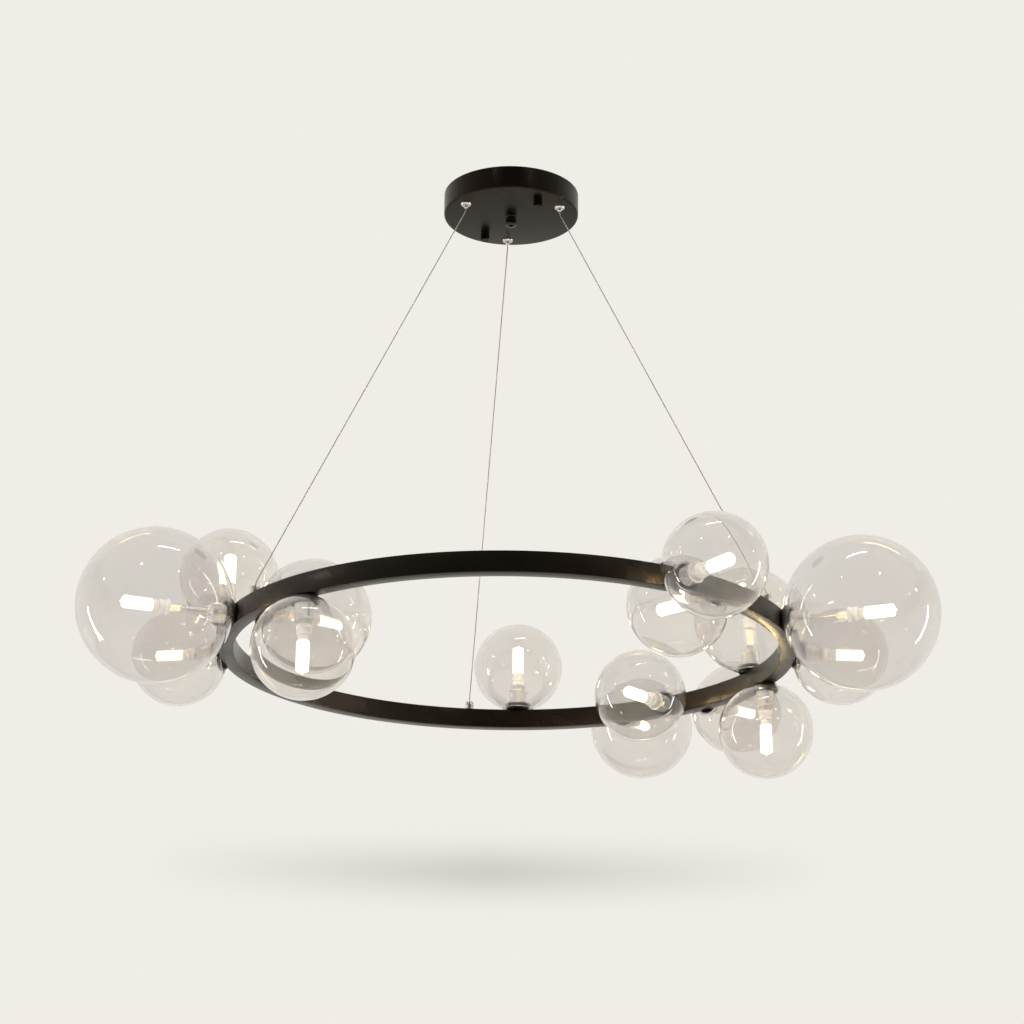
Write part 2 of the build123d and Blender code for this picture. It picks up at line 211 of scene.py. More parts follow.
def dustGroup():  # a thin veil on faces that look up
    group, start, end = newGroup(
        "dustVeil",
        {"Amount": ("NodeSocketFloat", 0.2)},
        {"Mask": ("NodeSocketFloat", None)})
    place = group.nodes.new("ShaderNodeTexCoord")
    shape = group.nodes.new("ShaderNodeNewGeometry")
    split = group.nodes.new("ShaderNodeSeparateXYZ")
    up = group.nodes.new("ShaderNodeMapRange")
    up.inputs["From Min"].default_value = 0.4
    noise = group.nodes.new("ShaderNodeTexNoise")
    noise.inputs["Scale"].default_value = 60.0
    noise.inputs["Detail"].default_value = 5.0
    patchy = group.nodes.new("ShaderNodeMath")
    patchy.operation = "MULTIPLY"
    amount = group.nodes.new("ShaderNodeMath")
    amount.operation = "MULTIPLY"
    group.links.new(shape.outputs["Normal"], split.inputs[0])
    group.links.new(split.outputs["Z"], up.inputs["Value"])
    group.links.new(place.outputs["Object"], noise.inputs["Vector"])
    group.links.new(up.outputs[0], patchy.inputs[0])
    group.links.new(noise.outputs["Fac"], patchy.inputs[1])
    group.links.new(patchy.outputs[0], amount.inputs[0])
    group.links.new(start.outputs["Amount"], amount.inputs[1])
    group.links.new(amount.outputs[0], end.inputs["Mask"])
    return group


grain, hairlines, dustVeil = grainGroup(), scratchGroup(), dustGroup()


def useGroup(nodes, group, **values):
    node = nodes.new("ShaderNodeGroup")
    node.node_tree = group
    for label, value in values.items():
        node.inputs[label.replace("_", " ")].default_value = value
    return node


def between(nodes, links, value, low, high, sourceLow=0.0, sourceHigh=1.0):
    node = nodes.new("ShaderNodeMapRange")
    node.inputs["From Min"].default_value = sourceLow
    node.inputs["From Max"].default_value = sourceHigh
    node.inputs["To Min"].default_value = low
    node.inputs["To Max"].default_value = high
    links.new(value, node.inputs["Value"])
    return node.outputs[0]


def mixColor(nodes, links, mask, first, second):
    node = nodes.new("ShaderNodeMix")
    node.data_type = "RGBA"
    node.inputs["A"].default_value = first
    node.inputs["B"].default_value = second
    links.new(mask, node.inputs["Factor"])
    return node.outputs["Result"]


def bumped(nodes, links, height, strength, distance):
    node = nodes.new("ShaderNodeBump")
    node.inputs["Strength"].default_value = strength
    node.inputs["Distance"].default_value = distance
    links.new(height, node.inputs["Height"])
    return node.outputs["Normal"]


def surface(nodes, links, **values):
    shader = nodes.new("ShaderNodeBsdfPrincipled")
    for label, value in values.items():
        shader.inputs[label.replace("_", " ")].default_value = value
    output = nodes.new("ShaderNodeOutputMaterial")
    links.new(shader.outputs[0], output.inputs["Surface"])
    return shader


def lacquer(name, look):
    dustTone = (0.35, 0.33, 0.30, 1)
    material, nodes, links = emptyMaterial(name)
    shader = surface(nodes, links, Specular_IOR_Level=look["specular"], Coat_Weight=look.get("coat", 0.0),
                     Coat_Roughness=look.get("coatRough", 0.2), Specular_Tint=look.get("sheen", (1, 1, 1, 1)))
    marks = useGroup(nodes, grain, Cloud_Scale=look["cloudScale"], Fine_Scale=look["fineScale"])
    dust = useGroup(nodes, dustVeil, Amount=look["dust"])
    tone = mixColor(nodes, links, marks.outputs["Cloud"], look["dark"], look["light"])
    veil = nodes.new("ShaderNodeMix")
    veil.data_type = "RGBA"
    veil.inputs["B"].default_value = dustTone
    links.new(dust.outputs["Mask"], veil.inputs["Factor"])
    links.new(tone, veil.inputs["A"])
    links.new(veil.outputs["Result"], shader.inputs["Base Color"])
    rough = between(nodes, links, marks.outputs["Cloud"], look["rough"][0], look["rough"][1], 0.3, 0.7)
    links.new(rough, shader.inputs["Roughness"])
    links.new(bumped(nodes, links, marks.outputs["Fine"], look["bump"], 0.0002), shader.inputs["Normal"])
    return material


def plated(name, look):
    material, nodes, links = emptyMaterial(name)
    shader = surface(nodes, links, Metallic=look.get("metal", 1.0))
    marks = useGroup(nodes, hairlines, Scale=look["scale"])
    clouds = useGroup(nodes, grain, Cloud_Scale=look["cloudScale"], Fine_Scale=1200.0)
    tone = mixColor(nodes, links, clouds.outputs["Cloud"], look["dark"], look["light"])
    links.new(tone, shader.inputs["Base Color"])
    rough = between(nodes, links, marks.outputs["Mask"], look["rough"][0], look["rough"][1], 0.1, 0.5)
    links.new(rough, shader.inputs["Roughness"])
    links.new(bumped(nodes, links, marks.outputs["Mask"], look["bump"], 0.0001), shader.inputs["Normal"])
    return material


def clearGlass():
    look = dict(tint=(0.846, 0.837, 0.838, 1), ior=1.46, clear=0.988, waveScale=9.0, wave=0.02)
    material, nodes, links = emptyMaterial("blownGlass")
    shader = nodes.new("ShaderNodeBsdfPrincipled")
    shader.inputs["Transmission Weight"].default_value = look["clear"]  # the rest is a faint milky veil
    shader.inputs["IOR"].default_value = look["ior"]
    shader.inputs["Base Color"].default_value = look["tint"]
    place = nodes.new("ShaderNodeTexCoord")
    waves = nodes.new("ShaderNodeTexNoise")
    waves.inputs["Scale"].default_value = look["waveScale"]
    waves.inputs["Detail"].default_value = 1.0
    links.new(place.outputs["Object"], waves.inputs["Vector"])
    links.new(between(nodes, links, waves.outputs["Fac"], 0.0, 0.012), shader.inputs["Roughness"])
    links.new(bumped(nodes, links, waves.outputs["Fac"], look["wave"], 0.01), shader.inputs["Normal"])
    letThrough(nodes, links, shader, (0.92, 0.91, 0.90, 1))
    return material


def litGlass():  # frosted capsule, warm all over from its own core
    look = dict(tint=(1.0, 0.97, 0.90, 1), glow=(1.0, 0.88, 0.60, 1), strength=1.1, rough=(0.10, 0.16),
                scale=260.0)
    material, nodes, links = emptyMaterial("frostedCapsule")
    shader = nodes.new("ShaderNodeBsdfPrincipled")
    shader.inputs["Transmission Weight"].default_value = 1.0
    shader.inputs["IOR"].default_value = 1.3
    shader.inputs["Base Color"].default_value = look["tint"]
    shader.inputs["Emission Color"].default_value = look["glow"]
    shader.inputs["Emission Strength"].default_value = look["strength"]
    place = nodes.new("ShaderNodeTexCoord")
    frost = nodes.new("ShaderNodeTexNoise")
    frost.inputs["Scale"].default_value = look["scale"]
    links.new(place.outputs["Object"], frost.inputs["Vector"])
    links.new(between(nodes, links, frost.outputs["Fac"], *look["rough"]), shader.inputs["Roughness"])
    links.new(bumped(nodes, links, frost.outputs["Fac"], 0.1, 0.0005), shader.inputs["Normal"])
    letThrough(nodes, links, shader, (0.97, 0.94, 0.88, 1))
    return material


def letThrough(nodes, links, shader, tone):  # lets light through the glass without a hard shadow
    path = nodes.new("ShaderNodeLightPath")
    through = nodes.new("ShaderNodeBsdfTransparent")
    through.inputs["Color"].default_value = tone
    choose = nodes.new("ShaderNodeMixShader")
    output = nodes.new("ShaderNodeOutputMaterial")
    links.new(path.outputs["Is Shadow Ray"], choose.inputs[0])
    links.new(shader.outputs[0], choose.inputs[1])
    links.new(through.outputs[0], choose.inputs[2])
    links.new(choose.outputs[0], output.inputs["Surface"])


def glowingCore():
    look = dict(color=(1.0, 0.81, 0.42, 1), edge=(1.0, 0.74, 0.32, 1), strength=230.0, scale=300.0)
    material, nodes, links = emptyMaterial("glowingCore")
    shader = surface(nodes, links, Roughness=0.6)
    shader.inputs["Base Color"].default_value = (0.95, 0.85, 0.6, 1)
    shader.inputs["Emission Strength"].default_value = look["strength"]
    place = nodes.new("ShaderNodeTexCoord")
    patches = nodes.new("ShaderNodeTexNoise")
    patches.inputs["Scale"].default_value = look["scale"]
    links.new(place.outputs["Object"], patches.inputs["Vector"])
    links.new(mixColor(nodes, links, patches.outputs["Fac"], look["edge"], look["color"]),
              shader.inputs["Emission Color"])
    return material


blackPaint = lacquer("satinBlack", dict(
    dark=(0.0018, 0.0012, 0.0008, 1), light=(0.0036, 0.0024, 0.0016, 1), specular=0.34,
    sheen=(1.0, 0.87, 0.74, 1), cloudScale=14.0, fineScale=1500.0, rough=(0.22, 0.32), bump=0.05, dust=0.01))
# the ring's satin black paint made darker and with weaker reflection for the canopy: its darker colour is
# painted shade
shadedCanopyPaint = lacquer("shadedCanopyBlack", dict(
    dark=(0.0012, 0.0008, 0.0006, 1), light=(0.0024, 0.0016, 0.0011, 1), specular=0.2,
    sheen=(1.0, 0.84, 0.70, 1), cloudScale=14.0, fineScale=1500.0, rough=(0.24, 0.34), bump=0.05, dust=0.005))
glossBlack = lacquer("glossBlack", dict(
    dark=(0.0020, 0.0015, 0.0012, 1), light=(0.0038, 0.0030, 0.0024, 1), specular=0.16,
    cloudScale=40.0, fineScale=1400.0, rough=(0.12, 0.2), bump=0.03, dust=0.01))
blackPlastic = lacquer("mouldedBlack", dict(
    dark=(0.0035, 0.0032, 0.0030, 1), light=(0.0065, 0.0060, 0.0055, 1), specular=0.4,
    cloudScale=60.0, fineScale=1100.0, rough=(0.18, 0.30), bump=0.12, dust=0.01))
porcelain = lacquer("glazedPorcelain", dict(
    dark=(0.72, 0.72, 0.70, 1), light=(0.84, 0.84, 0.82, 1), specular=0.5, coat=0.6, coatRough=0.08,
    cloudScale=120.0, fineScale=900.0, rough=(0.22, 0.32), bump=0.08, dust=0.02))
whitePlastic = lacquer("blockPlastic", dict(
    dark=(0.70, 0.69, 0.65, 1), light=(0.80, 0.79, 0.75, 1), specular=0.4,
    cloudScale=80.0, fineScale=900.0, rough=(0.40, 0.52), bump=0.1, dust=0.1))
loomRubber = lacquer("loomSleeve", dict(
    dark=(0.02, 0.02, 0.02, 1), light=(0.035, 0.034, 0.032, 1), specular=0.3,
    cloudScale=50.0, fineScale=700.0, rough=(0.55, 0.7), bump=0.2, dust=0.05))
nickel = plated("brightNickel", dict(
    dark=(0.66, 0.64, 0.61, 1), light=(0.82, 0.80, 0.77, 1), cloudScale=50.0, scale=700.0,
    rough=(0.07, 0.18), bump=0.03))
satinNickel = plated("satinNickel", dict(
    dark=(0.62, 0.62, 0.61, 1), light=(0.76, 0.76, 0.75, 1), metal=0.6, cloudScale=160.0, scale=900.0,
    rough=(0.20, 0.32), bump=0.04))
zincSteel = plated("zincSteel", dict(
    dark=(0.45, 0.45, 0.43, 1), light=(0.66, 0.65, 0.60, 1), cloudScale=130.0, scale=500.0,
    rough=(0.28, 0.45), bump=0.1))
ropeSteel = plated("ropeSteel", dict(
    dark=(0.26, 0.255, 0.245, 1), light=(0.34, 0.33, 0.32, 1), metal=0.15, cloudScale=200.0, scale=900.0,
    rough=(0.60, 0.70), bump=0.03))
glass = clearGlass()
capsuleGlass = litGlass()
capsuleCore = glowingCore()
print("materials done")


# ring of box tube
def makeRing():
    look = dict(width=19.0, edge=0.8, steps=288)
    low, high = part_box("ring_frame")
    radius, width = high.x, look["width"] * mm
    height = high.z - low.z
    startClean()
    bpy.ops.mesh.primitive_plane_add(size=1, location=(radius - width / 2, 0, (low.z + high.z) / 2),
                                     rotation=(pi / 2, 0, 0))
    ring = bpy.context.object
    ring.scale = (width, height, 1)
    bpy.ops.object.transform_apply(location=True, rotation=True, scale=True)
    bpy.ops.object.mode_set(mode="EDIT")
    bpy.ops.mesh.select_all(action="SELECT")
    bpy.ops.mesh.bevel(offset=look["edge"] * mm, segments=3, affect="VERTICES")
    bpy.ops.mesh.select_all(action="SELECT")
    bpy.ops.mesh.delete(type="ONLY_FACE")
    bpy.ops.mesh.select_all(action="SELECT")
    bpy.ops.mesh.spin(steps=look["steps"], angle=2 * pi, center=(0, 0, 0), axis=(0, 0, 1))
    ring.name = ring.data.name = "ring"
    tidySurface(ring)
    finishPiece(ring, blackPaint, "black_paint", "frame", "ring_frame")
    return ring


# canopy with its gland and nuts
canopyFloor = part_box("canopy_cup")[0].z / mm


def makeCanopy():
    look = dict(wall=1.2, edge=3.0, bore=5.1, arc=6)
    low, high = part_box("canopy_cup")
    radius, depth = high.x / mm, -low.z / mm
    edge, wall, bore = look["edge"], look["wall"], look["bore"]
    outer = arcPoints((radius - edge, -depth + edge), edge, 0, -90, look["arc"])
    inner = arcPoints((radius - edge, -depth + edge), edge - wall, -90, 0, look["arc"])
    profile = [(radius, 0.0)] + outer + [(bore, -depth), (bore, -depth + wall)] + inner
    profile += [(radius - wall, 0.0)]
    canopy = turnedPiece("canopy", profile, segments=160, closed=True, smoothAngle=30)
    finishPiece(canopy, shadedCanopyPaint, "black_paint", "frame", "canopy_cup")


def makeGland():
    look = dict(body=7.5, rim=0.7, rimHeight=1.2, bead=8.5, beadRound=2.35, beadMiddle=2.75, beadHeight=5.5,
                bore=3.25, mouth=0.4, thread=5.0)
    low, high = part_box("cord_gland")
    top, foot, threadTop = canopyFloor, low.z / mm, high.z / mm
    body, bore, rim, thread = look["body"], look["bore"], look["rim"], look["thread"]
    beadRound = look["beadRound"]
    bead = arcPoints((look["bead"] - beadRound, foot + look["beadMiddle"]), beadRound, 90, -90, 10)
    profile = [(bore, foot + look["mouth"]), (bore + look["mouth"], foot + 0.1)] + bead[::-1]
    profile += [(body, foot + look["beadHeight"]), (body, top - look["rimHeight"]), (body + rim, top - rim),
                (body + rim, top), (thread, top), (thread, threadTop), (bore, threadTop)]
    gland = turnedPiece("cordGland", profile, segments=48, closed=True)
    finishPiece(gland, blackPlastic, "black_plastic", "frame", "cord_gland")


def makeCapNuts():
    look = dict(flutes=18, depth=0.4, gap=0.3, chamfer=1.0, dimple=0.3, dimpleFloor=0.55, dimpleEdge=0.62,
                grooveBack=2.2, groove=dict(depth=0.3, width=0.8, ramp=0.2), bore=2.55, roof=2.0,
                gripBack=2.1)
    for number in (1, 2):
        low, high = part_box(f"cap_nut_{number}")
        radius = (high.x - low.x) / 2 / mm
        foot, top = low.z / mm, high.z / mm
        dimple, chamfer, bore, roof = look["dimple"], look["chamfer"], look["bore"], foot + look["roof"]
        profile = [(0, foot + dimple), (radius * look["dimpleFloor"], foot + dimple),
                   (radius * look["dimpleEdge"], foot), (radius - chamfer, foot), (radius, foot + chamfer)]
        profile += groovePoints(radius, top - look["grooveBack"], **look["groove"])
        profile += [(radius, top), (bore, top), (bore, roof), (0, roof)]
        nut = turnedPiece(f"capNut{number}", profile, segments=look["flutes"] * 4, smoothAngle=30)
        grip = (foot + chamfer * 0.5, top - look["gripBack"])
        turn = 2 * pi / look["flutes"]

        def inFlute(vertex):
            angle = Vector(vertex.co.xy).angle_signed(Vector((1, 0)), 0.0) % turn
            onSide = Vector(vertex.co.xy).length > (radius - 0.1) * mm
            return onSide and angle < turn * look["gap"] and grip[0] < vertex.co.z / mm < grip[1]

        selectVertices(nut, inFlute)
        push = 1 - look["depth"] / radius
        bpy.ops.transform.resize(value=(push, push, 1), center_override=(0, 0, 0))
        bpy.ops.object.mode_set(mode="OBJECT")
        centre = (low + high) / 2
        nut.data.transform(Matrix.Translation((centre.x, centre.y, 0)))
        finishPiece(nut, glossBlack, "black_paint", f"cap_nut_{number}_body", f"cap_nut_{number}")


makeRing()
makeCanopy()
makeGland()
makeCapNuts()
print("ring and canopy done")


# suspension: grippers, noses, wires and posts
postHeight = 12.0  # above the ring's top face
wireRadius = 0.75


def exitPlace(number):
    low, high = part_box(f"gripper_nose_{number}")
    return (low.x + high.x) / 2, (low.y + high.y) / 2


def postPlace(number):  # the wire's box runs from the canopy's exit to the post
    low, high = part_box(f"suspension_wire_{number}")
    spot = []
    for axis, start in enumerate(exitPlace(number)):
        ends = (low[axis] + wireRadius * mm, high[axis] - wireRadius * mm)
        spot.append(max(ends, key=lambda end: abs(end - start)))
    return tuple(spot)


def makeGrippers():
    look = dict(flange=7.5, height=3.4, domeRound=2.6, domeEdge=0.6, barrel=4.5, top=-13.8, chamfer=0.5,
                bore=3.05, boreDepth=9.0, mouth=0.4, wire=0.85)
    flange, barrel, bore, top = look["flange"], look["barrel"], look["bore"], look["top"]
    under = canopyFloor - look["height"]
    seat = under + look["boreDepth"]
    domeRound, domeLevel = look["domeRound"], canopyFloor - look["domeEdge"]
    dome = arcPoints((flange - domeRound, domeLevel), domeRound, 0, -90, 8)
    profile = [(bore, under + 0.6), (bore + look["mouth"], under)] + dome[::-1] + [
        (flange, canopyFloor), (barrel, canopyFloor), (barrel, top - look["chamfer"]),
        (barrel - look["chamfer"], top), (look["wire"], top), (look["wire"], seat), (bore, seat)]
    gripper = turnedPiece("gripper", profile, segments=48, closed=True)
    for number in (1, 2, 3):
        x, y = exitPlace(number)
        piece = placedCopy(gripper, f"wireGripper{number}", Matrix.Translation((x, y, 0)))
        finishPiece(piece, nickel, "nickel", "frame", "wire_grippers")
    discard(gripper)


def makeNoses():
    look = dict(radius=3.0, tip=1.6, bore=0.8, mouth=0.3, grooveStart=2.2,
                groove=dict(depth=0.25, width=0.7, ramp=0.2))
    radius, bore, mouth, tipRound = look["radius"], look["bore"], look["mouth"], look["tip"]
    low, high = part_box("gripper_nose_1")
    foot, top = low.z / mm, high.z / mm
    tip = arcPoints((radius - tipRound, foot + tipRound), tipRound, -90, 0, 8)
    profile = [(bore, top), (bore, foot + mouth), (bore + mouth, foot)] + tip
    profile += groovePoints(radius, foot + look["grooveStart"], **look["groove"]) + [(radius, top)]
    nose = turnedPiece("nose", profile, segments=40, closed=True)
    for number in (1, 2, 3):
        x, y = exitPlace(number)
        piece = placedCopy(nose, f"gripperNose{number}", Matrix.Translation((x, y, 0)))
        finishPiece(piece, nickel, "nickel", f"nose_{number}_body", f"gripper_nose_{number}")
    discard(nose)


def makePosts():
    look = dict(radius=6.25, foot=0.2, shoulder=1.0, shoulderStep=0.3, stem=3.0, stemChamfer=0.4, bore=0.8,
                mouth=0.4, mouthDepth=0.5, depth=6.0, grooveStart=1.6,
                groove=dict(depth=0.3, width=0.8, ramp=0.2))
    radius, stem, bore = look["radius"], look["stem"], look["bore"]
    chamfer, shoulder = look["stemChamfer"], look["shoulder"]
    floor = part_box("ring_frame")[1].z / mm
    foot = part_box("ring_posts")[0].z / mm
    top = floor + postHeight
    seat = top - look["depth"]
    profile = [(0, foot), (stem - chamfer, foot), (stem, foot + chamfer), (stem, floor),
               (radius - look["foot"], floor), (radius, floor + look["foot"])]
    profile += groovePoints(radius, floor + look["grooveStart"], **look["groove"])
    profile += [(radius, top - shoulder), (radius - look["shoulderStep"], top - look["shoulderStep"]),
                (radius - shoulder, top), (bore + look["mouth"], top), (bore, top - look["mouthDepth"]),
                (bore, seat), (0, seat)]
    post = turnedPiece("post", profile, segments=56)
    for number in (1, 2, 3):
        x, y = postPlace(number)
        piece = placedCopy(post, f"ringPost{number}", Matrix.Translation((x, y, 0)))
        finishPiece(piece, nickel, "nickel", "frame", "ring_posts")
    discard(post)


def makeWires():
    look = dict(strand=0.27, lay=11.0, step=1.3, bend=4.2, near=9.0, around=6)
    for number in (1, 2, 3):
        low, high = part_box(f"suspension_wire_{number}")
        exitSpot, postSpot = Vector(exitPlace(number)), Vector(postPlace(number))
        nose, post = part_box(f"gripper_nose_{number}")[0].z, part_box("ring_frame")[1].z + postHeight * mm
        top = Vector((*exitSpot, nose - look["bend"] * mm))
        bottom = Vector((*postSpot, post + look["bend"] * mm))
        along = (bottom - top).normalized() * look["near"] * mm
        up = Vector((0, 0, look["near"] * mm))
        route = [Vector((*exitSpot, high.z)), top + up, top, top + along, bottom - along, bottom,
                 Vector((*postSpot, low.z))]
        middle = routePoints(route, look["step"] * mm)
        strands = []
        for strand in range(look["around"] + 1):
            away = 0 if strand == look["around"] else 2 * look["strand"] * mm
            points = twisted(middle, away, 2 * pi * strand / look["around"], look)
            strands.append(tubeAlong(f"strand{strand}", points, look["strand"] * mm))
        wire = joined(strands, f"wireRope{number}")
        makeActive(wire)
        bpy.ops.object.shade_smooth_by_angle(angle=radians(60))
        finishPiece(wire, ropeSteel, "steel_wire", "frame", f"suspension_wire_{number}")


def routePoints(controls, step):  # read from the route's spline, and thinned to about one step apart
    line = bpy.data.curves.new("route", "CURVE")
    line.dimensions = "3D"
    line.resolution_u = 400
    spline = line.splines.new("NURBS")
    spline.points.add(len(controls) - 1)
    for spot, control in zip(spline.points, controls):
        spot.co = (*control, 1)
    spline.order_u = 3
    spline.use_endpoint_u = True
    holder = bpy.data.objects.new("route", line)
    bpy.context.collection.objects.link(holder)
    mesh = bpy.data.meshes.new_from_object(holder)
    course = [vertex.co.copy() for vertex in mesh.vertices]
    discard(holder)
    bpy.data.meshes.remove(mesh)
    kept = [course[0]]
    for point in course[1:-1]:
        if (point - kept[-1]).length >= step and (point - course[-1]).length >= step:
            kept.append(point)
    return kept + [course[-1]]


def twisted(middle, away, phase, look):  # one strand of the rope, laid round its middle line
    points, done = [], 0.0
    side = Vector((0, 0, 1)).cross(middle[-1] - middle[0]).normalized()
    for before, spot, after in zip([middle[0]] + middle, middle, middle[1:] + [middle[-1]]):
        done += (spot - before).length
        other = (after - before).normalized().cross(side).normalized()
        angle = phase + 2 * pi * done / mm / look["lay"]
        points.append(spot + (side * cos(angle) + other * sin(angle)) * away)
    return points


def tubeAlong(name, points, radius):
    curve = bpy.data.curves.new(name, "CURVE")
    curve.dimensions = "3D"
    curve.bevel_depth = radius
    curve.bevel_resolution = 1
    curve.use_fill_caps = True
    line = curve.splines.new("POLY")
    line.points.add(len(points) - 1)
    for spot, point in zip(line.points, points):
        spot.co = (*point, 1)
    piece = bpy.data.objects.new(name, curve)
    bpy.context.collection.objects.link(piece)
    makeActive(piece)
    bpy.ops.object.convert(target="MESH")
    return bpy.context.object


makeGrippers()
makeNoses()
makePosts()
makeWires()
print("suspension done")


# lamps
lampSizes = dict(mouth=3.5, neck=6.5, neckInside=17.1, wall=2.0, collarEnd=30.0, bulb=49.0,
                 holder=26.0, shortHolder=14.0, face=10.0)


def lampFacts(number):
    joint = joints[f"globe_{number}_turn"]
    origin, way = Vector(joint["pos_m"]), Vector(joint["axis"]).normalized()
    along = Vector((0, 0, 1)).cross(Vector((origin.x, origin.y, 0))).normalized()
    across = way.cross(along)
    place = Matrix.Translation(origin) @ Matrix((along, across, way)).transposed().to_4x4()
    low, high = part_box(f"globe_{number}")
    return place, max(high - low) / mm


def bulbReach(number):  # how far along the lamp's axis the bulb's pip ends
    joint = joints[f"globe_{number}_turn"]
    origin, way = Vector(joint["pos_m"]), Vector(joint["axis"]).normalized()
    node = frame["nodes"][f"bulb_{number}"]
    return max((vertex.co - origin).dot(way) for vertex in node.data.vertices) / mm


def makeGlobe(diameter):
    look = dict(outerRings=34, innerRings=34, segments=88, lip=0.5)
    radius, neck = diameter / 2, lampSizes["neckInside"]
    wide = neck + lampSizes["wall"]
    inner = radius - lampSizes["wall"]
    mouth = lampSizes["mouth"]
    centre = mouth + sqrt(radius**2 - wide**2)
    lowOuter = -90 + degrees(asin(wide / radius))
    lowInner = -90 + degrees(asin(wide / inner))
    outer = arcPoints((0, centre), radius, 90, lowOuter, look["outerRings"])
    inside = arcPoints((0, centre), inner, lowInner, 90, look["innerRings"])
    end = mouth + lampSizes["neck"]
    lip = look["lip"]
    rim = [(wide - lip, mouth), (neck + lip, mouth), (neck, mouth + lip), (neck, end - lip),
           (neck + lip, end), (wide - lip, end), (wide, end - lip)]
    outer[0], inside[-1] = (0, outer[0][1]), (0, inside[-1][1])
    return turnedPiece(f"globe{round(diameter)}", outer + rim + inside, segments=look["segments"],
                       smoothAngle=40)


def makeCup():
    look = dict(radius=17.0, bore=5.1, height=10.0, edge=2.4, arc=6, foot=0.4, footEdge=0.5, recess=14.0,
                recessDepth=0.4)
    radius, edge, foot = look["radius"], look["edge"], look["foot"]
    sunk = look["height"] - look["recessDepth"]
    top = arcPoints((radius - edge, look["height"] - edge), edge, 0, 90, look["arc"])
    profile = [(look["bore"], foot), (radius - look["footEdge"], foot), (radius, foot * 2)] + top + [
        (look["recess"], look["height"]), (look["recess"] - look["recessDepth"], sunk), (look["bore"], sunk)]
    return turnedPiece("cup", profile, segments=64, closed=True)


def makeCollar(stemmed):
    look = dict(radius=12.5, foot=9.6, edge=0.3, beadRound=1.2, beadIn=0.5, beadStart=2.4, mouth=10.1,
                stemMouth=5.1, depth=23.9, neck=7.5, neckHeight=5.0, neckRound=0.4, grooveStart=12.4,
                groove=dict(depth=0.35, width=1.0, ramp=0.3))
    radius, foot, edge, end = look["radius"], look["foot"], look["edge"], lampSizes["collarEnd"]
    mouth = look["stemMouth"] if stemmed else look["mouth"]
    bead = arcPoints((radius - look["beadIn"], end - look["beadRound"]), look["beadRound"], -60, 75, 8)
    profile = [(look["stemMouth"], foot), (radius - edge, foot), (radius, foot + edge)]
    profile += groovePoints(radius, look["grooveStart"], **look["groove"])
    profile += [(radius, end - look["beadStart"])] + bead + [(mouth + edge, end), (mouth, end - edge)]
    if stemmed:
        neck, neckEnd, soft = look["neck"], end + look["neckHeight"], look["neckRound"]
        profile[-2:] = [(neck + edge, end), (neck, end + edge), (neck, neckEnd - soft),
                        (neck - soft, neckEnd), (mouth, neckEnd)]
    else:
        profile += [(mouth, look["depth"]), (look["stemMouth"], look["depth"])]
    return turnedPiece("collar", profile, segments=64, closed=True)


def makeStem(end):
    look = dict(radius=5.0, bore=3.5, start=23.0, edge=0.3)
    radius, bore, edge = look["radius"], look["bore"], look["edge"]
    profile = [(bore, look["start"]), (radius, look["start"]), (radius, end - edge), (radius - edge, end),
               (bore, end)]
    return turnedPiece("stem", profile, segments=48, closed=True)


def makeHolder(start, end):
    look = dict(radius=10.0, face=9.0, edge=0.4, grooves=(4.0, 8.0), faceGroove=3.2, lip=0.9,
                groove=dict(depth=0.9, width=1.4, ramp=0.3))
    radius, face, edge, lip = look["radius"], look["face"], look["edge"], look["lip"]
    step = end - lampSizes["face"]
    profile = [(0, start), (radius - edge, start), (radius, start + edge)]
    for back in look["grooves"]:
        if step - back > start + 1:  # a short holder has no room for it
            profile += groovePoints(radius, step - back, **look["groove"])
    profile += [(radius, step), (face + 0.2, step + 0.7), (face, step + 1.1)]
    profile += groovePoints(face, step + look["faceGroove"], **look["groove"])
    profile += [(face, end - lip), (face - 0.3, end - 0.25), (face - lip, end), (0, end)]
    return turnedPiece("holder", profile, segments=56)


